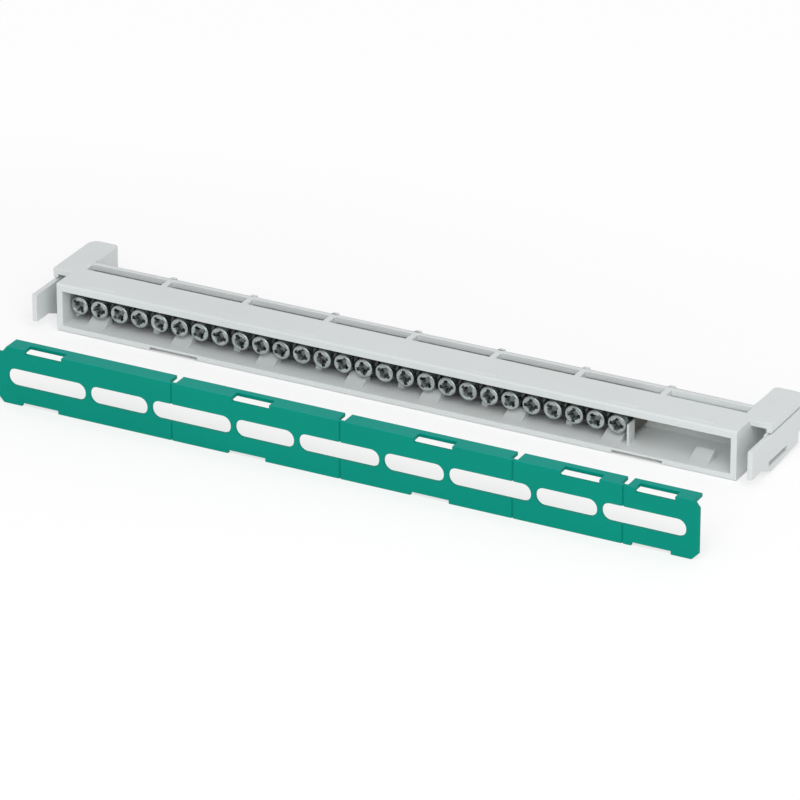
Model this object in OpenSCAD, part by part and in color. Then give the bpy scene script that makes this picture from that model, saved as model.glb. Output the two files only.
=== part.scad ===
// Earth terminal block.
// A clip-in tray holds a brass earth bar with a row of clamping screws, and a snap-on
// cover strip stands in front of it, taken off. Millimetres: X runs along the tray,
// Y runs to the back and Z is up. The origin is the middle of the tray's underside.

/* [Terminals] */
// Distance from one terminal to the next
pitch = 7; // [6.8:0.1:8]
// Number of terminal places along the tray
place_count = 32; // [32:4:40]
// Number of places that hold a screw, counted from the left
screw_count = 27; // [20:1:28]
// Number of places between two dividing ribs
bay_place_count = 4; // [2:2:8]

/* [Tray] */
// Height of the tray
tray_h = 15.9; // [15.3:0.1:17]
// Depth of the tray from its front to its back face
tray_d = 19.4; // [19.2:0.1:22]
// Thickness of the end walls, the floor and the top wall
wall = 2; // [1.6:0.1:2.4]
// Thickness of the back wall below its top rail
back_wall = 1.1; // [0.9:0.1:1.2]
// Width of the wire slots from front to back
slot_w = 4.2; // [4:0.1:4.4]
// Thickness of the dividing ribs
rib_t = 2; // [1.4:0.1:2.2]
// How far the ribs stand out behind the back wall
rib_out = 1; // [0.6:0.1:1.6]
// Drop of the front lip below the top wall
lip_drop = 0.5; // [0.4:0.1:0.9]
// Depth of the front lip
lip_d = 1.8; // [1.2:0.1:2.4]
// Radius of the tray's long edges
edge_r = 0.6; // [0.3:0.1:0.8]
// Width of each stop that keeps the bar from sliding forward
stop_w = 6; // [4:0.5:8]
// Length of each release notch in the bottom front edge
notch_l = 16.5; // [10:0.5:20]
// Height of each release notch
notch_h = 1.2; // [0.6:0.1:1.4]

/* [End arms] */
// Reach of the arms behind the tray's front face
arm_back = 33.5; // [28:0.5:36]
// Distance from the tray's front face to the front of the arm's top plate
arm_front = 9.5; // [7:0.5:12]
// Thickness of the arm's cheeks and of its back web
cheek_t = 1.6; // [1.4:0.1:2]
// Height of the inner cheek and of the back web
web_h = 9; // [6:0.5:9.5]
// Height of the skirt below the arm's top plate
skirt_h = 1.1; // [0.8:0.1:1.6]
// Gap between the tray's end wall and the latch
latch_gap = 5; // [4.4:0.1:6]
// Reach of the latch in front of the tray's front face
latch_reach = 3.5; // [2:0.1:6]
// Slit between the arm's skirt and the latch
slit = 0.6; // [0.4:0.1:1]
// Height of the latch's tip above the underside
latch_tip_z = 3.2; // [2:0.1:5]
// Clearance of the latch's heel above the underside
heel_z = 0.4; // [0.2:0.1:1]
// Length of the catch slot through the latch
catch_l = 13; // [10:0.5:16]
// Height of the catch slot
catch_h = 1.4; // [1:0.1:2]

/* [Bar and screws] */
// Distance from the tray's front face to the bar
bar_front = 8.4; // [8.2:0.1:8.8]
// Height of the bar
bar_h = 8.6; // [8:0.1:8.8]
// Height of the rests under the bar
rest_h = 1.4; // [1.2:0.1:1.6]
// Radius of the wire holes
wire_r = 1.8; // [1.5:0.05:1.9]
// Thickness of the bar behind the wire holes
wire_wall = 0.9; // [0.8:0.1:1.2]
// Radius of the screws' thread
screw_r = 2; // [1.7:0.05:2.05]
// Radius of the screw heads
head_r = 3; // [2.6:0.05:3.1]
// Height of the screw heads
head_h = 2.4; // [2:0.1:2.6]
// Distance from the tray's front face to the screw heads
head_front = 4; // [3.4:0.1:4.2]
// Depth of the counterbore that a head sinks into
counterbore = 1.5; // [1:0.1:2]

/* [Cover strip] */
// Thickness of the cover
cover_t = 1.2; // [1:0.1:1.5]
// Depth of the flange along the cover's top
flange_d = 5.9; // [5:0.1:7]
// How far the cover's tabs reach below the tray when it is snapped on
cover_drop = 1.5; // [1:0.1:2]
// Height of the windows
window_h = 5.6; // [4.6:0.1:6.4]
// Width of the bars between the windows
window_bar = 1.4; // [1:0.1:2]
// Length of the snap slots along the fold
snap_l = 12.4; // [10:0.2:14]
// Distance in front of the tray at which the cover stands
cover_apart = 51.6; // [20:0.2:80]
// Shift of the cover along the tray
cover_shift = 11.7; // [-20:0.1:20]
// Length of the tongue past the cover's left shoulder
cover_tongue = 1.7; // [0.5:0.1:3]

/* [Hidden] */
$fn = 48;

// Clearance of a part that slides into place
slide_fit = 0.1;
// Clearance of the screws in their tapped holes
thread_fit = 0.05;
// Overlap of shapes that are joined or cut
over = 0.5;

// Levels and lengths of the tray
tray_in = place_count * pitch;
tray_l = tray_in + 2 * wall;
bay = bay_place_count * pitch;
bay_count = place_count / bay_place_count;
ceiling = tray_h - wall;
back_in = tray_d - back_wall;

// The bar between its rests and the back wall, with the wire slots above its holes
bar_l = screw_count * pitch - 2 * slide_fit;
bar_x = slide_fit - tray_in / 2;
bar_z = wall + rest_h;
bar_d = back_in - slide_fit - bar_front;
axis_z = bar_z + bar_h / 2;
wire_y = back_in - slide_fit - wire_wall - wire_r;
top_d = wire_y - slot_w / 2 - slide_fit;

// The stops under the screw heads, as shares of the tray's length from its middle, and the fin
// beside the last screw
stop_shares = [-0.456, -0.325, -0.194, -0.059, 0.053, 0.178, 0.322, 0.45];
stop_front = 2;
stop_flat = 1.6;
stop_top = axis_z - head_r - 2 * slide_fit;
fin_t = 0.8;
fin_rise = 0.7;

// The screws, with their tips just short of the wire holes
tip_y = wire_y - wire_r - 2 * slide_fit;
tip_chamfer = 0.5;
head_edge = 0.5;
drive_w = 1.2;
drive_l = 4.3;
drive_depth = 1.6;
drive_slot_w = 1.1;
drive_slot_l = 4.6;
drive_slot_depth = 0.9;
core_r = 1.7;
core_foot_r = 0.7;
turn_step = 47;

// The arms, out from the tray's end
arm_in = tray_in / 2 - rib_t / 2;
latch_in = tray_l / 2 + latch_gap;
latch_out = latch_in + cheek_t;
skirt_z = ceiling - skirt_h;
latch_top = skirt_z - slit;
web_z = ceiling - web_h;
outer_r = 3;
inner_r = 1.5;
heel_front = 10.4;
heel_run = 6.9;
heel_gap = 4;
heel_back = arm_back - heel_gap;
heel_rise = 1.2;
catch_lead = 1.8;
catch_y = heel_front - catch_lead;
catch_z = 2.6;

// The wedges on the top wall and the cover's features, in places from the middle
snap_places = [-14.3, -4.3, 4.25, 10.95, 14.35];
recess_places = [-14.5, -4.5, 4.1, 14.2];
break_places = [-8, 0, 8, 13];
window_places = [4, 3, 4, 3, 4, 3, 4, 3, 4];
break_left = 0.6;
window_left = 1;
window_low = 0.2;
notch_places = [-10.5, 11.7];
wedge_d = 2.2;
wedge_rise = 0.5;
snap_fit = 0.7;
notch_d = 3;

// The cover, as tall as the tray with its flange above and its tabs below
cover_h = cover_drop + tray_h + cover_t;
window_z = cover_drop + axis_z - window_low;
window_r = window_h / 2 - slide_fit;
flange_short = 1.4;
flange_half = tray_l / 2 - flange_short;
shoulder_w = 1.7;
shoulder_h = 2.2;
end_chamfer = 2.2;
snap_drop = 1.5;
snap_depth = cover_t + wedge_d + 2 * slide_fit;
recess_h = 1.1;
break_w = 2.2;
score_w = 0.5;
score_d = 0.4;

function place_x(n) = (n - (place_count + 1) / 2) * pitch;
function bay_x(n) = n * bay - tray_in / 2;
function total(list, n) = n < 0 ? 0 : list[n] + total(list, n - 1);

// Everything is drawn from the tray's front face and set back to the origin
module seated() { translate([0, -tray_d / 2, 0]) children(); }

// A section drawn in Y and Z, run along X
module along_x(x0, x1) {
  translate([x0, 0, 0]) rotate([90, 0, 90]) linear_extrude(x1 - x0) children();
}

// A section drawn in X and Z, run along Y
module along_y(y0, y1) {
  translate([0, y1, 0]) rotate([90, 0, 0]) linear_extrude(y1 - y0) children();
}

// A plan drawn in X and Y, run up Z
module up_z(z0, z1) {
  translate([0, 0, z0]) linear_extrude(z1 - z0) children();
}

module box(x0, x1, y0, y1, z0, z1) {
  translate([x0, y0, z0]) cube([x1 - x0, y1 - y0, z1 - z0]);
}

module rect(x0, x1, y0, y1) {
  translate([x0, y0]) square([x1 - x0, y1 - y0]);
}

// A rectangle with round corners
module round_rect(x0, x1, y0, y1, r) {
  rect(x0 + r, x1 - r, y0, y1);
  rect(x0, x1, y0 + r, y1 - r);
  for (x = [x0 + r, x1 - r], y = [y0 + r, y1 - r]) translate([x, y]) circle(r);
}

// What is outside a round corner at the origin's upper right
module corner_waste(r) {
  difference() {
    square(r + over);
    circle(r);
  }
}

// The tray without its arms
module tray_shell() {
  difference() {
    along_x(-tray_l / 2, tray_l / 2) round_rect(0, tray_d, 0, tray_h, edge_r);
    along_x(-tray_in / 2, tray_in / 2) difference() {
      rect(-over, back_in, wall, ceiling);
      rect(-2 * over, lip_d, ceiling - lip_drop, ceiling + over);
    }
    for (n = [0 : bay_count - 1])
      box(bay_x(n) + rib_t / 2, bay_x(n + 1) - rib_t / 2,
          top_d, top_d + slot_w, ceiling - over, tray_h + over);
    for (p = notch_places)
      box(p * pitch - notch_l / 2, p * pitch + notch_l / 2, -over, notch_d, -over, notch_h);
  }
}

// Ribs between the bays: a rest under the bar, a guard above it and a fin behind
module dividers() {
  for (n = [0 : bay_count]) {
    x = bay_x(n);
    if (n * bay_place_count < screw_count) along_x(x - rib_t / 2, x + rib_t / 2) {
      rect(bar_front, back_in + back_wall / 2, wall - over, bar_z);
      rect(bar_front, back_in + back_wall / 2, bar_z + bar_h + slide_fit, ceiling + over);
    }
    if (n > 0 && n < bay_count) along_x(x - rib_t / 2, x + rib_t / 2)
      rect(tray_d - over, tray_d + rib_out, wall, tray_h);
  }
}

// Ramps on the floor that the bar snaps behind, and a fin beside the last screw
module stops() {
  stop_back = bar_front - slide_fit;
  for (share = stop_shares)
    along_x(share * tray_in - stop_w / 2, share * tray_in + stop_w / 2)
      polygon([[stop_front, wall - over], [stop_back, wall - over], [stop_back, stop_top],
               [stop_back - stop_flat, stop_top], [stop_front, wall]]);
  fin_x = place_x(screw_count) + head_r + 2 * slide_fit;
  box(fin_x, fin_x + fin_t, head_front + 2 * slide_fit, stop_back, wall - over, axis_z + fin_rise);
}

// Wedges on the top wall that the cover's slots snap over
module wedges() {
  wedge_l = snap_l - 2 * snap_fit;
  for (p = snap_places)
    along_x(p * pitch - wedge_l / 2, p * pitch + wedge_l / 2)
      polygon([[edge_r, tray_h - over], [wedge_d, tray_h - over],
               [wedge_d, tray_h + wedge_rise], [edge_r, tray_h]]);
}

// Plan of an arm from a given front line, with its back corners round
module arm_plan(x1, y0) {
  difference() {
    rect(arm_in, x1, y0, arm_back);
    translate([x1 - outer_r, arm_back - outer_r]) corner_waste(outer_r);
    translate([arm_in + inner_r, arm_back - inner_r]) mirror([1, 0]) corner_waste(inner_r);
  }
}

// Side view of the latch: a raised tip, a sloping edge and a deep heel with a catch slot
module latch_side() {
  difference() {
    polygon([[-latch_reach, latch_tip_z], [heel_front - heel_run, latch_tip_z],
             [heel_front, heel_z], [heel_back, heel_z + heel_rise], [heel_back, web_z],
             [arm_back, web_z], [arm_back, latch_top], [-latch_reach, latch_top]]);
    rect(catch_y, catch_y + catch_l, catch_z, catch_z + catch_h);
  }
}

// One end arm: a skirted top plate over a U-shaped spring, whose outer cheek is the latch
module end_arm() {
  up_z(ceiling, tray_h) arm_plan(latch_out, arm_front);
  up_z(skirt_z, ceiling + over) intersection() {
    arm_plan(latch_out, arm_front);
    rect(latch_in, latch_out, arm_front, arm_back);
  }
  up_z(web_z, ceiling) difference() {
    arm_plan(latch_out, tray_d - over);
    rect(arm_in + cheek_t, latch_out + over, 0, arm_back - cheek_t);
  }
  intersection() {
    along_x(latch_in, latch_out) latch_side();
    up_z(0, tray_h) arm_plan(latch_out, -latch_reach - over);
  }
}

module tray() {
  color([0.84, 0.85, 0.86]) seated() {
    tray_shell();
    dividers();
    stops();
    wedges();
    for (side = [0, 1]) mirror([side, 0, 0]) end_arm();
  }
}

// The bar, with a tapped hole and a wire hole at each terminal
module earth_bar() {
  color([0.42, 0.42, 0.4]) seated() difference() {
    box(bar_x, bar_x + bar_l, bar_front, bar_front + bar_d, bar_z, bar_z + bar_h);
    for (n = [1 : screw_count]) translate([place_x(n), 0, axis_z]) {
      translate([0, wire_y, -bar_h]) cylinder(r = wire_r, h = 2 * bar_h);
      translate([0, wire_y, 0]) rotate([90, 0, 0]) cylinder(r = screw_r, h = wire_y);
      translate([0, bar_front + counterbore, 0]) rotate([90, 0, 0])
        cylinder(r = head_r + 2 * slide_fit, h = counterbore + over);
    }
  }
}

// One screw along +Z from its head's front face at the origin, with a slotted cross recess
module screw() {
  length = tip_y - head_front;
  shank_r = screw_r - thread_fit;
  difference() {
    rotate_extrude() {
      polygon([[core_r, 0], [head_r - head_edge, 0], [head_r - head_edge, head_h], [0, head_h],
               [0, drive_depth], [core_foot_r, drive_depth]]);
      rect(head_r - 2 * head_edge, head_r, head_edge, head_h);
      intersection() {
        translate([head_r - head_edge, head_edge]) circle(head_edge);
        rect(0, head_r, 0, head_h);
      }
      polygon([[0, head_h - over], [shank_r, head_h - over], [shank_r, length - tip_chamfer],
               [shank_r - tip_chamfer, length], [0, length]]);
    }
    box(-drive_l / 2, drive_l / 2, -drive_w / 2, drive_w / 2, -over, drive_depth);
    box(-drive_w / 2, drive_w / 2, -drive_l / 2, drive_l / 2, -over, drive_depth);
    box(-drive_slot_l / 2, drive_slot_l / 2, -drive_slot_w / 2, drive_slot_w / 2,
        -over, drive_slot_depth);
  }
}

module terminal_screws() {
  color([0.68, 0.71, 0.71]) seated()
    for (n = [1 : screw_count])
      translate([place_x(n), head_front, axis_z]) rotate([-90, 0, 0])
        rotate([0, 0, n * turn_step]) screw();
}

// Front view of the cover's face: shouldered ends, windows and recesses between the tabs
module cover_face() {
  half = flange_half + shoulder_w;
  left = -half - cover_tongue;
  shoulder_z = cover_h - shoulder_h;
  difference() {
    polygon([[left + end_chamfer, 0], [half - end_chamfer, 0], [half, end_chamfer],
             [half, shoulder_z], [flange_half, cover_h], [-flange_half, cover_h],
             [-half, shoulder_z], [left, shoulder_z], [left, end_chamfer]]);
    last = len(window_places) - 1;
    for (i = [0 : last]) {
      x0 = (total(window_places, i - 1) - total(window_places, last) / 2) * pitch - window_left;
      round_rect(x0 + window_bar / 2, x0 + window_places[i] * pitch - window_bar / 2,
                 window_z - window_h / 2, window_z + window_h / 2, window_r);
    }
    for (p = recess_places)
      rect(p * pitch - snap_l / 2, p * pitch + snap_l / 2, -over, recess_h);
  }
}

// The cover strip, with snap slots along the fold and score lines where it may be shortened
module cover_strip() {
  color([0, 0.56, 0.49]) seated() translate([cover_shift, -cover_apart, 0]) difference() {
    union() {
      along_y(0, cover_t) cover_face();
      box(-flange_half, flange_half, 0, flange_d, cover_h - cover_t, cover_h);
    }
    for (p = snap_places)
      box(p * pitch - snap_l / 2, p * pitch + snap_l / 2,
          -over, snap_depth, cover_h - snap_drop, cover_h + over);
    for (p = break_places) {
      x = p * pitch - break_left;
      box(x - break_w / 2, x + break_w / 2,
          cover_t, flange_d + over, cover_h - cover_t - over, cover_h + over);
      box(x - score_w / 2, x + score_w / 2, -over, score_d, -over, cover_h + over);
    }
  }
}

tray();
earth_bar();
terminal_screws();
cover_strip();
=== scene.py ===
"""Looks of the earth terminal block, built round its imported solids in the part's own frame, in metres."""

import math

import bmesh
import bpy
from mathutils import Matrix, Vector


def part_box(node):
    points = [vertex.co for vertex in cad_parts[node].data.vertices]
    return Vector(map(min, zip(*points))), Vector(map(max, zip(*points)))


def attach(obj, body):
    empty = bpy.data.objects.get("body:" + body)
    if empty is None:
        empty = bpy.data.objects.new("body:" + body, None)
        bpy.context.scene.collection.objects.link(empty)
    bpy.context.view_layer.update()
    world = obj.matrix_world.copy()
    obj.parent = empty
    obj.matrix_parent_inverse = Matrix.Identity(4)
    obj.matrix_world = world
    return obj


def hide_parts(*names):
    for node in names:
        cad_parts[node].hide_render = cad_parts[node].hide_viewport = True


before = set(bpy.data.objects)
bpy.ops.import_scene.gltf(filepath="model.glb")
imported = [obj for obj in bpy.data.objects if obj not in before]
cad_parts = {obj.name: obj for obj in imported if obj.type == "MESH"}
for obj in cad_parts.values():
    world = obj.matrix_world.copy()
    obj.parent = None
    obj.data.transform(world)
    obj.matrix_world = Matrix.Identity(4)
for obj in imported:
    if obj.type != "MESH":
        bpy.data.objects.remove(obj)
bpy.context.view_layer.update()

MM = 0.001

# The terminals' places, as in the part's source
PITCH = 7.0 * MM
PLACE_COUNT = 32
SCREW_COUNT = 27
TRAY_LENGTH = 228.0 * MM
TRAY_DEPTH = 19.4 * MM
SCREW_AXIS_Z = 7.7 * MM
HEAD_FRONT = 4.0 * MM
SCREW_TURN = math.radians(47)

# One clamping screw, along +Z from its head's front face
SCREW_LENGTH = 9.5 * MM
HEAD_RADIUS = 3.0 * MM
HEAD_HEIGHT = 2.4 * MM
HEAD_EDGE = 0.5 * MM
HEAD_UNDERCUT = 0.15 * MM
TIP_CHAMFER = 0.5 * MM

# The screw's thread: its profile gives the share of the pitch and the share of the depth
THREAD_CREST = 1.95 * MM
THREAD_PITCH = 0.7 * MM
THREAD_DEPTH = 0.43 * MM
THREAD_PROFILE = ((0.0, 0.0), (0.25, 0.0), (0.5625, 1.0), (0.6875, 1.0))
THREAD_START = HEAD_HEIGHT - THREAD_PITCH / 2
THREAD_STEPS = 28
THREAD_PHASE = 1 / 3
THREAD_SPARE_TURNS = 2

# The screw's slotted cross recess
DRIVE_LENGTH = 4.3 * MM
DRIVE_WIDTH = 1.2 * MM
DRIVE_DEPTH = 1.6 * MM
DRIVE_FOOT_LENGTH = 2.0 * MM
DRIVE_FOOT_WIDTH = 0.8 * MM
CORE_RADIUS = 1.7 * MM
CORE_FOOT_RADIUS = 0.7 * MM
SLOT_LENGTH = 4.6 * MM
SLOT_WIDTH = 1.1 * MM
SLOT_DEPTH = 0.9 * MM
RECESS_BEVEL = 0.06 * MM
RECESS_FLATNESS = RECESS_BEVEL / 10
RECESS_EDGE_ANGLE = math.radians(57)

# How finely the screw is made
LATHE_STEPS = 64
LATHE_PHASE = 0.5
ARC_STEPS = 6
MERGE_DISTANCE = 0.0005 * MM
SHARP_ANGLE = math.radians(32)

# Broken edges
TRAY_BEVEL = 0.18 * MM
COVER_BEVEL = 0.15 * MM
BAR_BEVEL = 0.12 * MM
BEVEL_SEGMENTS = 2
BEVEL_ANGLE = math.radians(40)
FLAT_ANGLE = math.radians(0.5)
WELD_DISTANCE = 0.001 * MM

# The camera that took the photograph
CAMERA_AZIMUTH = math.radians(27.46)
CAMERA_ELEVATION = math.radians(25.31)
CAMERA_DISTANCE = 1.863
CAMERA_TARGET = Vector((4.05, -9.7, 2.22)) * MM
FOCAL_PIXELS = 6258
IMAGE_PIXELS = 800
SENSOR_MM = 36.0

# Linear colours
GREY = (0.645, 0.675, 0.68)
GREY_WARM = (0.625, 0.645, 0.64)
TEAL = (0.0, 0.241, 0.179)
TEAL_DEEP = (0.0, 0.221, 0.166)
# The flange's top face, painted paler: painted light
TEAL_PAINTED_LIGHT = (0.0, 0.28, 0.224)
TEAL_PAINTED_LIGHT_DEEP = (0.0, 0.26, 0.21)
ZINC = (0.46, 0.5, 0.5)
ZINC_DULL = (0.3, 0.34, 0.34)
# Painted shade for the screw's recess, the head's underside and the shank
ZINC_PAINTED_SHADE = (0.16, 0.176, 0.172)
# The bar's nickel and brass, coloured dark as painted shade between and beside the screw heads
NICKEL_PAINTED_SHADE = (0.1, 0.1, 0.094)
NICKEL_DULL_PAINTED_SHADE = (0.048, 0.05, 0.046)
BRASS_PAINTED_SHADE = (0.22, 0.2, 0.16)
FLOOR = (0.97, 0.97, 0.97)
WHITE = (1.0, 1.0, 1.0)

# Textures: a scale is in noise cells for each metre, and a noise is used over the middle of its values
NOISE_DETAIL = 3.0
NOISE_SPREAD = (0.3, 0.7)
FULL_RANGE = (0.0, 1.0)
ACROSS_AXIS = (1.0, 1.0, 0.0)

# Moulded plastic
TRAY_SPECULAR = 0.3
TRAY_ROUGHNESS = (0.42, 0.56)
COVER_SPECULAR = 0.07
COVER_ROUGHNESS = (0.38, 0.5)
CLOUD_SCALE = 45.0
FLOW_SCALES = (12.0, 90.0, 90.0)
FLOW_DETAIL = 4.0
GRAIN_SCALE = 2600.0
GRAIN_DETAIL = 2.0
GRAIN_DEPTH = 0.02 * MM
GRAIN_STRENGTH = 0.35

# Plated metal
ZINC_ROUGHNESS = (0.24, 0.4)
RING_SCALE = 9000.0
RING_DETAIL = 2.0
PLATING_SCALE = 420.0
SPOT_SCALE = 2400.0
SPOT_DETAIL = 4.0
SPOT_RANGE = (0.7, 1.0)
NICKEL_ROUGHNESS = (0.3, 0.48)
FILM_SCALE = 160.0
FILM_DETAIL = 5.0
DRAWN_SCALES = (25.0, 5200.0, 5200.0)
SAWN_SCALES = (1.0, 300.0, 5200.0)
SAWN_DETAIL = 2.0
BAR_END_MARGIN = 0.04 * MM
TOOL_MARK_DEPTH = 0.01 * MM
TOOL_MARK_STRENGTH = 0.5

# Studio light
AMBIENT = 0.6
SEEN_WHITE = 1.0
KEY_POWER = 17.0
KEY_AZIMUTH = math.radians(30)
KEY_ELEVATION = math.radians(40)
KEY_DISTANCE = 1.5
KEY_SIZE = 1.4

# The floor, and the white that it goes over to away from the object
FLOOR_SIZE = 8.0
GLOW_RANGE = (0.6, 0.92)
GLOW_REACH = (1.0, 2.2)
GLOW_CENTRE = (0.0, -0.02, 0.0)
GLOW_SPREAD = (6.2, 12.5, 0.0)


class Nodes:
    """A node tree with short calls for adding and joining nodes."""

    # A Mix node's colour sockets, which share their names with others
    MIX_FIRST = 6
    MIX_SECOND = 7
    MIX_RESULT = 2

    def __init__(self, tree):
        self.tree = tree
        self.tree.nodes.clear()

    def add(self, kind, inputs=None, **settings):
        node = self.tree.nodes.new(kind)
        for name, value in settings.items():
            setattr(node, name, value)
        for name, value in (inputs or {}).items():
            self.feed(node.inputs[name], value)
        return node

    def feed(self, socket, value):
        if isinstance(value, bpy.types.NodeSocket):
            self.tree.links.new(value, socket)
        elif isinstance(value, tuple) and socket.type == "RGBA":
            socket.default_value = (*value, 1.0)
        else:
            socket.default_value = value

    def noise(self, where, scale, detail=NOISE_DETAIL):
        made = self.add("ShaderNodeTexNoise", {"Vector": where, "Scale": scale, "Detail": detail})
        return made.outputs["Fac"]

    def streaks(self, where, scales, detail=NOISE_DETAIL):
        """A noise with its own scale along X, Y and Z."""
        stretched = self.add("ShaderNodeMapping", {"Vector": where, "Scale": scales})
        return self.noise(stretched.outputs["Vector"], 1.0, detail)

    def ranged(self, value, limits, spread=NOISE_SPREAD):
        """The value, taken from the spread to the limits and held between them."""
        low, high = limits
        start, stop = spread
        made = self.add(
            "ShaderNodeMapRange",
            {"Value": value, "From Min": start, "From Max": stop, "To Min": low, "To Max": high},
        )
        return made.outputs["Result"]

    def blend(self, share, first, second):
        made = self.add("ShaderNodeMix", {"Factor": share}, data_type="RGBA")
        self.feed(made.inputs[self.MIX_FIRST], first)
        self.feed(made.inputs[self.MIX_SECOND], second)
        return made.outputs[self.MIX_RESULT]

    def math(self, operation, first, second=0.0):
        made = self.add("ShaderNodeMath", operation=operation)
        self.feed(made.inputs[0], first)
        self.feed(made.inputs[1], second)
        return made.outputs["Value"]

    def vector(self, operation, first, second):
        made = self.add("ShaderNodeVectorMath", operation=operation)
        self.feed(made.inputs[0], first)
        self.feed(made.inputs[1], second)
        return made.outputs["Vector"]

    def length(self, vector):
        made = self.add("ShaderNodeVectorMath", operation="LENGTH")
        self.feed(made.inputs[0], vector)
        return made.outputs["Value"]

    def axes(self, where):
        return self.add("ShaderNodeSeparateXYZ", {"Vector": where}).outputs

    def bump(self, height, distance, strength):
        made = self.add(
            "ShaderNodeBump", {"Height": height, "Distance": distance, "Strength": strength}
        )
        return made.outputs["Normal"]

    def mix_shaders(self, share, first, second):
        made = self.add("ShaderNodeMixShader", {"Fac": share})
        self.feed(made.inputs[1], first)
        self.feed(made.inputs[2], second)
        return made.outputs["Shader"]


def new_material(name):
    material = bpy.data.materials.new(name)
    material.use_nodes = True
    return material, Nodes(material.node_tree)


def new_surface(name):
    """A material with a Principled surface, still to be fed."""
    material, nodes = new_material(name)
    surface = nodes.add("ShaderNodeBsdfPrincipled")
    nodes.add("ShaderNodeOutputMaterial", {"Surface": surface.outputs["BSDF"]})
    return material, nodes, surface


def moulded_plastic(name, colours, specular, roughness, top=None):
    """Spark-eroded moulding: a fine even grain, faint flow marks and a soft sheen.

    top is a height, and the pair of colours that the face above it has: painted light, which makes that
    face paler.
    """
    material, nodes, surface = new_surface(name)
    where = nodes.add("ShaderNodeTexCoord").outputs["Object"]
    cloud = nodes.noise(where, CLOUD_SCALE)
    flow = nodes.streaks(where, FLOW_SCALES, FLOW_DETAIL)
    grain = nodes.noise(where, GRAIN_SCALE, GRAIN_DETAIL)
    mean = nodes.math("DIVIDE", nodes.math("ADD", cloud, flow), 2.0)
    shade = nodes.ranged(mean, FULL_RANGE)
    base = nodes.blend(shade, *colours)
    if top is not None:
        height, painted_light_colours = top
        # Painted light: the face above the height takes the paler pair of colours
        above = nodes.math("GREATER_THAN", nodes.axes(where)["Z"], height)
        base = nodes.blend(above, base, nodes.blend(shade, *painted_light_colours))
    nodes.feed(surface.inputs["Base Color"], base)
    nodes.feed(surface.inputs["Roughness"], nodes.ranged(grain, roughness))
    surface.inputs["Specular IOR Level"].default_value = specular
    nodes.feed(surface.inputs["Normal"], nodes.bump(grain, GRAIN_DEPTH, GRAIN_STRENGTH))
    return material


def zinc_plate():
    """Zinc-plated steel: turned rings on the head, a cloudy plating, and painted shade in the recess and on
    the shank.
    """
    material, nodes, surface = new_surface("zinc_plate")
    where = nodes.add("ShaderNodeTexCoord").outputs["Object"]
    radius = nodes.length(nodes.vector("MULTIPLY", where, ACROSS_AXIS))
    rings = nodes.noise(nodes.math("MULTIPLY", radius, RING_SCALE), 1.0, RING_DETAIL)
    place = nodes.add("ShaderNodeNewGeometry").outputs["Position"]
    cloud = nodes.noise(place, PLATING_SCALE)
    spots = nodes.noise(place, SPOT_SCALE, SPOT_DETAIL)
    worn = nodes.math(
        "MULTIPLY", nodes.ranged(cloud, FULL_RANGE), nodes.ranged(spots, SPOT_RANGE)
    )
    depth = nodes.axes(where)["Z"]
    # Painted shade: darker deeper than the recess's broken edge, within the head's flat face, which takes
    # in the shank too
    painted_shade = nodes.math(
        "MULTIPLY",
        nodes.ranged(depth, FULL_RANGE, (2 * RECESS_BEVEL, SLOT_DEPTH / 2)),
        nodes.math("LESS_THAN", radius, HEAD_RADIUS - HEAD_EDGE),
    )
    plate = nodes.blend(worn, ZINC, ZINC_DULL)
    nodes.feed(surface.inputs["Base Color"], nodes.blend(painted_shade, plate, ZINC_PAINTED_SHADE))
    surface.inputs["Metallic"].default_value = 1.0
    nodes.feed(surface.inputs["Roughness"], nodes.ranged(spots, ZINC_ROUGHNESS))
    nodes.feed(surface.inputs["Normal"], nodes.bump(rings, TOOL_MARK_DEPTH, TOOL_MARK_STRENGTH))
    return material


def plated_brass(low_end, high_end):
    """Nickel over drawn brass, dark as painted shade: lines along the bar, a varied film, and bare brass on
    the sawn ends.
    """
    material, nodes, surface = new_surface("plated_brass")
    where = nodes.add("ShaderNodeTexCoord").outputs["Object"]
    drawn = nodes.streaks(where, DRAWN_SCALES)
    sawn = nodes.streaks(where, SAWN_SCALES, SAWN_DETAIL)
    film = nodes.noise(where, FILM_SCALE, FILM_DETAIL)
    # Painted shade: the whole plate is dark, and the film only varies its tone
    plate = nodes.blend(nodes.ranged(film, FULL_RANGE), NICKEL_PAINTED_SHADE, NICKEL_DULL_PAINTED_SHADE)
    along = nodes.axes(where)["X"]
    at_end = nodes.math(
        "MAXIMUM",
        nodes.math("LESS_THAN", along, low_end + BAR_END_MARGIN),
        nodes.math("GREATER_THAN", along, high_end - BAR_END_MARGIN),
    )
    nodes.feed(surface.inputs["Base Color"], nodes.blend(at_end, plate, BRASS_PAINTED_SHADE))
    surface.inputs["Metallic"].default_value = 1.0
    nodes.feed(surface.inputs["Roughness"], nodes.ranged(film, NICKEL_ROUGHNESS))
    lines = nodes.blend(at_end, drawn, sawn)
    nodes.feed(surface.inputs["Normal"], nodes.bump(lines, TOOL_MARK_DEPTH, TOOL_MARK_STRENGTH))
    return material


def seen_directly(nodes):
    """1 for rays that show the background itself: from the camera, a reflection or through glass."""
    path = nodes.add("ShaderNodeLightPath").outputs
    mirrored = nodes.math("MAXIMUM", path["Is Glossy Ray"], path["Is Transmission Ray"])
    return nodes.math("MAXIMUM", path["Is Camera Ray"], mirrored)


def below_tray(nodes, place):
    """1 on the floor below the tray."""
    axes = nodes.axes(place)
    in_length = nodes.math("LESS_THAN", nodes.math("ABSOLUTE", axes["X"]), TRAY_LENGTH / 2)
    in_depth = nodes.math("LESS_THAN", nodes.math("ABSOLUTE", axes["Y"]), TRAY_DEPTH / 2)
    return nodes.math("MULTIPLY", in_length, in_depth)


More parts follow.
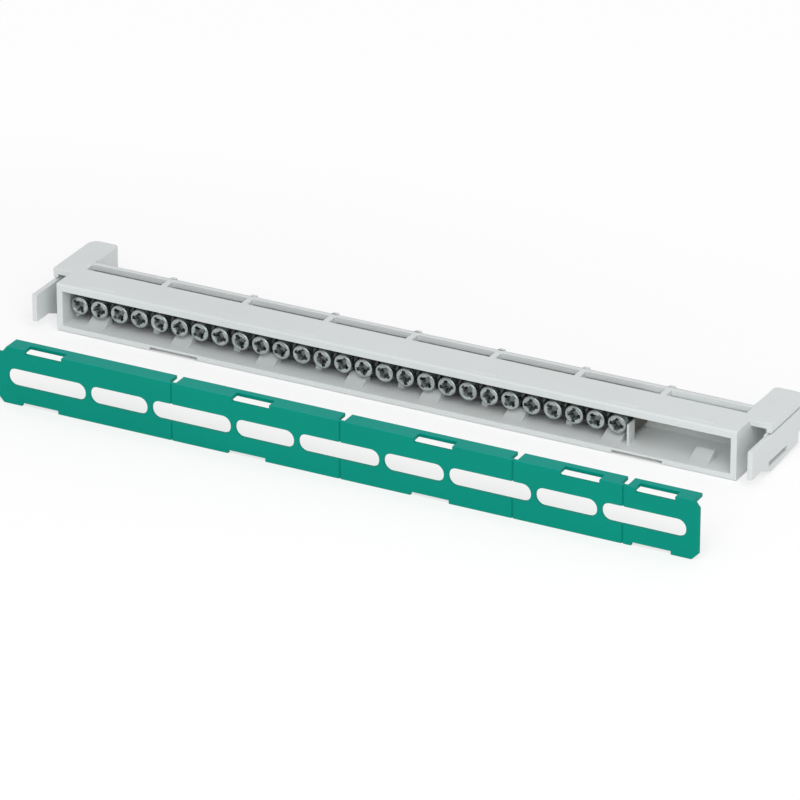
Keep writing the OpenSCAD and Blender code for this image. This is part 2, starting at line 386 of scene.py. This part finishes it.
def floor_material():
    """A white floor that takes the object's shadow and whitens away from it."""
    material, nodes = new_material("floor")
    matte = nodes.add("ShaderNodeBsdfDiffuse", {"Color": FLOOR})
    glow = nodes.add("ShaderNodeEmission", {"Color": WHITE})
    place = nodes.add("ShaderNodeNewGeometry").outputs["Position"]
    offset = nodes.vector("SUBTRACT", place, GLOW_CENTRE)
    away = nodes.length(nodes.vector("MULTIPLY", offset, GLOW_SPREAD))
    lift = nodes.ranged(away, GLOW_RANGE, GLOW_REACH)
    open_floor = nodes.math("SUBTRACT", 1.0, below_tray(nodes, place))
    share = nodes.math("MULTIPLY", seen_directly(nodes), nodes.math("MULTIPLY", lift, open_floor))
    mixed = nodes.mix_shaders(share, matte.outputs["BSDF"], glow.outputs["Emission"])
    nodes.add("ShaderNodeOutputMaterial", {"Surface": mixed})
    return material


def dress(node, material, bevel):
    """A CAD node with its sharp edges broken, as a moulded or machined edge is, and its material."""
    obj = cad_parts[node]
    weld = obj.modifiers.new("weld", "WELD")
    weld.merge_threshold = WELD_DISTANCE
    flat = obj.modifiers.new("flat", "DECIMATE")
    flat.decimate_type = "DISSOLVE"
    flat.angle_limit = FLAT_ANGLE
    edges = obj.modifiers.new("edges", "BEVEL")
    edges.width = bevel
    edges.segments = BEVEL_SEGMENTS
    edges.limit_method = "ANGLE"
    edges.angle_limit = BEVEL_ANGLE
    edges.use_clamp_overlap = False
    obj.modifiers.new("normals", "WEIGHTED_NORMAL")
    for place in obj.material_slots:
        place.material = material


def dress_tray():
    plastic = moulded_plastic("grey_plastic", (GREY, GREY_WARM), TRAY_SPECULAR, TRAY_ROUGHNESS)
    dress("tray", plastic, TRAY_BEVEL)


def dress_cover():
    """The cover strip, whose flange is painted a shade lighter on top: painted light on its top face."""
    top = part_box("cover_strip")[1].z - COVER_BEVEL / 2
    plastic = moulded_plastic(
        "green_plastic",
        (TEAL, TEAL_DEEP),
        COVER_SPECULAR,
        COVER_ROUGHNESS,
        (top, (TEAL_PAINTED_LIGHT, TEAL_PAINTED_LIGHT_DEEP)),
    )
    dress("cover_strip", plastic, COVER_BEVEL)


def dress_bar():
    low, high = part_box("earth_bar")
    dress("earth_bar", plated_brass(low.x, high.x), BAR_BEVEL)


def lathe(profile):
    """A solid of revolution about Z from (radius, height) points that start and end on the axis."""
    solid = bmesh.new()
    turns = [2 * math.pi * (i + LATHE_PHASE) / LATHE_STEPS for i in range(LATHE_STEPS)]
    rings = []
    for radius, height in profile:
        if radius == 0.0:
            rings.append([solid.verts.new((0.0, 0.0, height))])
            continue
        ring = [(radius * math.cos(t), radius * math.sin(t), height) for t in turns]
        rings.append([solid.verts.new(point) for point in ring])
    for lower, upper in zip(rings, rings[1:]):
        for i in range(LATHE_STEPS):
            j = (i + 1) % LATHE_STEPS
            corners = [lower[i % len(lower)], lower[j % len(lower)]]
            corners += [upper[j % len(upper)], upper[i % len(upper)]]
            solid.faces.new(list(dict.fromkeys(corners)))
    bmesh.ops.recalc_face_normals(solid, faces=solid.faces)
    return solid


def head_solid():
    """The screw's head, with a rounded front edge and a small chamfer underneath."""
    centre = HEAD_RADIUS - HEAD_EDGE
    arc = []
    for i in range(ARC_STEPS + 1):
        turn = math.pi / 2 * i / ARC_STEPS
        arc.append((centre + HEAD_EDGE * math.sin(turn), HEAD_EDGE * (1 - math.cos(turn))))
    under = [
        (HEAD_RADIUS, HEAD_HEIGHT - HEAD_UNDERCUT),
        (HEAD_RADIUS - HEAD_UNDERCUT, HEAD_HEIGHT),
    ]
    return lathe([(0.0, 0.0), *arc, *under, (0.0, HEAD_HEIGHT)])


def core_cutter():
    """A cone from just above Z = 0 down to the recess's foot."""
    above = CORE_RADIUS + (CORE_RADIUS - CORE_FOOT_RADIUS) * HEAD_EDGE / DRIVE_DEPTH
    return lathe(
        [(0.0, -HEAD_EDGE), (above, -HEAD_EDGE), (CORE_FOOT_RADIUS, DRIVE_DEPTH), (0.0, DRIVE_DEPTH)]
    )


def tapered_box(top, foot, depth):
    """A box from just above Z = 0 down to depth, whose foot is smaller than its top."""
    solid = bmesh.new()
    above = -HEAD_EDGE
    rise = -above / depth
    corners = ((-1, -1), (1, -1), (1, 1), (-1, 1))
    levels = []
    for z, grow in ((above, 1 + rise), (depth, 0.0)):
        half = [(f + (t - f) * grow) / 2 for t, f in zip(top, foot)]
        levels.append([solid.verts.new((half[0] * x, half[1] * y, z)) for x, y in corners])
    solid.faces.new(levels[0])
    solid.faces.new(levels[1])
    for i in range(len(corners)):
        j = (i + 1) % len(corners)
        solid.faces.new((levels[0][i], levels[0][j], levels[1][j], levels[1][i]))
    bmesh.ops.recalc_face_normals(solid, faces=solid.faces)
    return solid


def linked(name, data):
    """A new object in the scene."""
    obj = bpy.data.objects.new(name, data)
    bpy.context.scene.collection.objects.link(obj)
    return obj


def as_object(solid, name):
    mesh = bpy.data.meshes.new(name)
    solid.to_mesh(mesh)
    solid.free()
    return linked(name, mesh)


def combined(obj, others, operation):
    """The solid that obj makes with the others, with no doubled points. The objects are used up."""
    for other in others:
        step = obj.modifiers.new(other.name, "BOOLEAN")
        step.operation = operation
        step.solver = "EXACT"
        step.object = other
    graph = bpy.context.evaluated_depsgraph_get()
    mesh = bpy.data.meshes.new_from_object(obj.evaluated_get(graph))
    solid = bmesh.new()
    solid.from_mesh(mesh)
    bmesh.ops.remove_doubles(solid, verts=solid.verts, dist=MERGE_DISTANCE)
    bmesh.ops.dissolve_degenerate(solid, edges=solid.edges, dist=MERGE_DISTANCE)
    for used in (obj, *others):
        bpy.data.objects.remove(used)
    bpy.data.meshes.remove(mesh)
    return solid


def break_recess_edges(solid):
    """Breaks the recess's edges in the head's front face."""
    rim = HEAD_RADIUS - HEAD_EDGE - RECESS_BEVEL

    def in_face(edge):
        flat = all(abs(v.co.z) < RECESS_FLATNESS for v in edge.verts)
        inside = all(Vector((v.co.x, v.co.y)).length < rim for v in edge.verts)
        return flat and inside and edge.is_manifold and edge.calc_face_angle() > RECESS_EDGE_ANGLE

    bmesh.ops.bevel(
        solid,
        geom=[e for e in solid.edges if in_face(e)],
        offset=RECESS_BEVEL,
        segments=BEVEL_SEGMENTS,
        affect="EDGES",
        clamp_overlap=True,
    )


def thread_rows(solid):
    """The thread's profile at each step along its helix, from a pitch before its start."""
    root = THREAD_CREST - THREAD_DEPTH
    turns = math.ceil((SCREW_LENGTH - THREAD_START) / THREAD_PITCH) + THREAD_SPARE_TURNS
    rows = []
    for i in range(turns * THREAD_STEPS + 1):
        turn = 2 * math.pi * i / THREAD_STEPS
        row = []
        for along, out in THREAD_PROFILE:
            z = THREAD_START + THREAD_PITCH * ((i + THREAD_PHASE) / THREAD_STEPS + along - 1)
            tip = THREAD_CREST - TIP_CHAMFER + max(SCREW_LENGTH - z, 0.0)
            radius = min(root + THREAD_DEPTH * out, tip)
            row.append(solid.verts.new((radius * math.cos(turn), radius * math.sin(turn), z)))
        rows.append(row)
    return rows


def thread_solid():
    """A right-hand thread from inside the head to the chamfered tip."""
    solid = bmesh.new()
    rows = thread_rows(solid)
    last = len(THREAD_PROFILE) - 1
    for i in range(len(rows) - 1):
        here, after = rows[i], rows[i + 1]
        for a in range(last):
            solid.faces.new((here[a], after[a], after[a + 1], here[a + 1]))
        if i + THREAD_STEPS + 1 < len(rows):
            over, beyond = rows[i + THREAD_STEPS], rows[i + THREAD_STEPS + 1]
            solid.faces.new((here[last], after[last], beyond[0], over[0]))
    for height, way in ((THREAD_START, -1.0), (SCREW_LENGTH, 1.0)):
        bmesh.ops.bisect_plane(
            solid,
            geom=[*solid.verts, *solid.edges, *solid.faces],
            plane_co=(0.0, 0.0, height),
            plane_no=(0.0, 0.0, way),
            clear_outer=True,
        )
    bmesh.ops.holes_fill(solid, edges=[e for e in solid.edges if e.is_boundary], sides=0)
    bmesh.ops.recalc_face_normals(solid, faces=solid.faces)
    return solid


def screw_mesh():
    """One screw: a head with a slotted cross recess on a threaded shank."""
    cross_top = (DRIVE_LENGTH, DRIVE_WIDTH)
    cross_foot = (DRIVE_FOOT_LENGTH, DRIVE_FOOT_WIDTH)
    slot = (SLOT_LENGTH, SLOT_WIDTH)
    head = as_object(head_solid(), "head")
    cutters = [
        as_object(core_cutter(), "core"),
        as_object(tapered_box(cross_top, cross_foot, DRIVE_DEPTH), "cross_along"),
        as_object(tapered_box(cross_top[::-1], cross_foot[::-1], DRIVE_DEPTH), "cross_over"),
        as_object(tapered_box(slot, slot, SLOT_DEPTH), "slot"),
    ]
    carved = combined(head, cutters, "DIFFERENCE")
    break_recess_edges(carved)
    whole = combined(as_object(carved, "head"), [as_object(thread_solid(), "thread")], "UNION")
    bmesh.ops.triangulate(whole, faces=whole.faces)
    bmesh.ops.dissolve_degenerate(whole, edges=whole.edges, dist=MERGE_DISTANCE)
    mesh = bpy.data.meshes.new("screw")
    whole.to_mesh(mesh)
    whole.free()
    mesh.polygons.foreach_set("use_smooth", [True] * len(mesh.polygons))
    mesh.set_sharp_from_angle(angle=SHARP_ANGLE)
    return mesh


def place_screws():
    """A detailed screw at each terminal, in place of the plain ones."""
    mesh = screw_mesh()
    mesh.materials.append(zinc_plate())
    facing = Matrix.Rotation(-math.pi / 2, 4, "X")
    for n in range(1, SCREW_COUNT + 1):
        screw = linked(f"screw_{n:02d}", mesh)
        x = (n - (PLACE_COUNT + 1) / 2) * PITCH
        seat = Matrix.Translation((x, HEAD_FRONT - TRAY_DEPTH / 2, SCREW_AXIS_Z))
        screw.matrix_world = seat @ facing @ Matrix.Rotation(n * SCREW_TURN, 4, "Z")
        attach(screw, "root")
        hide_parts("terminal_screws")


def lay_floor():
    half = FLOOR_SIZE / 2
    mesh = bpy.data.meshes.new("floor")
    corners = [(-half, -half, 0.0), (half, -half, 0.0), (half, half, 0.0), (-half, half, 0.0)]
    mesh.from_pydata(corners, [], [tuple(range(len(corners)))])
    mesh.materials.append(floor_material())
    linked("floor", mesh)


def light_world():
    """An even pale surround, plain white where it is seen."""
    world = bpy.data.worlds.new("surround")
    bpy.context.scene.world = world
    world.use_nodes = True
    nodes = Nodes(world.node_tree)
    soft = nodes.add("ShaderNodeBackground", {"Color": WHITE, "Strength": AMBIENT})
    seen = nodes.add("ShaderNodeBackground", {"Color": WHITE, "Strength": SEEN_WHITE})
    mixed = nodes.mix_shaders(
        seen_directly(nodes), soft.outputs["Background"], seen.outputs["Background"]
    )
    nodes.add("ShaderNodeOutputWorld", {"Surface": mixed})


def aim(obj, target, azimuth, elevation, distance):
    """Puts obj at that distance and direction from the target, facing it. Azimuth 0 is the front."""
    level = math.cos(elevation)
    back = Vector((math.sin(azimuth) * level, -math.cos(azimuth) * level, math.sin(elevation)))
    obj.location = target + back * distance
    obj.rotation_euler = (-back).to_track_quat("-Z", "Y").to_euler()


def hang_softbox():
    """The one lamp: a large square softbox in front of the object and above it."""
    data = bpy.data.lights.new("key", "AREA")
    data.size = KEY_SIZE
    data.energy = KEY_POWER
    aim(linked("key", data), Vector(), KEY_AZIMUTH, KEY_ELEVATION, KEY_DISTANCE)


def set_camera():
    data = bpy.data.cameras.new("camera")
    data.sensor_width = SENSOR_MM
    data.lens = FOCAL_PIXELS / IMAGE_PIXELS * SENSOR_MM
    camera = linked("camera", data)
    aim(camera, CAMERA_TARGET, CAMERA_AZIMUTH, CAMERA_ELEVATION, CAMERA_DISTANCE)
    bpy.context.scene.camera = camera


bpy.context.scene.view_settings.view_transform = "Standard"
dress_tray()
dress_cover()
dress_bar()
place_screws()
lay_floor()
light_world()
hang_softbox()
set_camera()
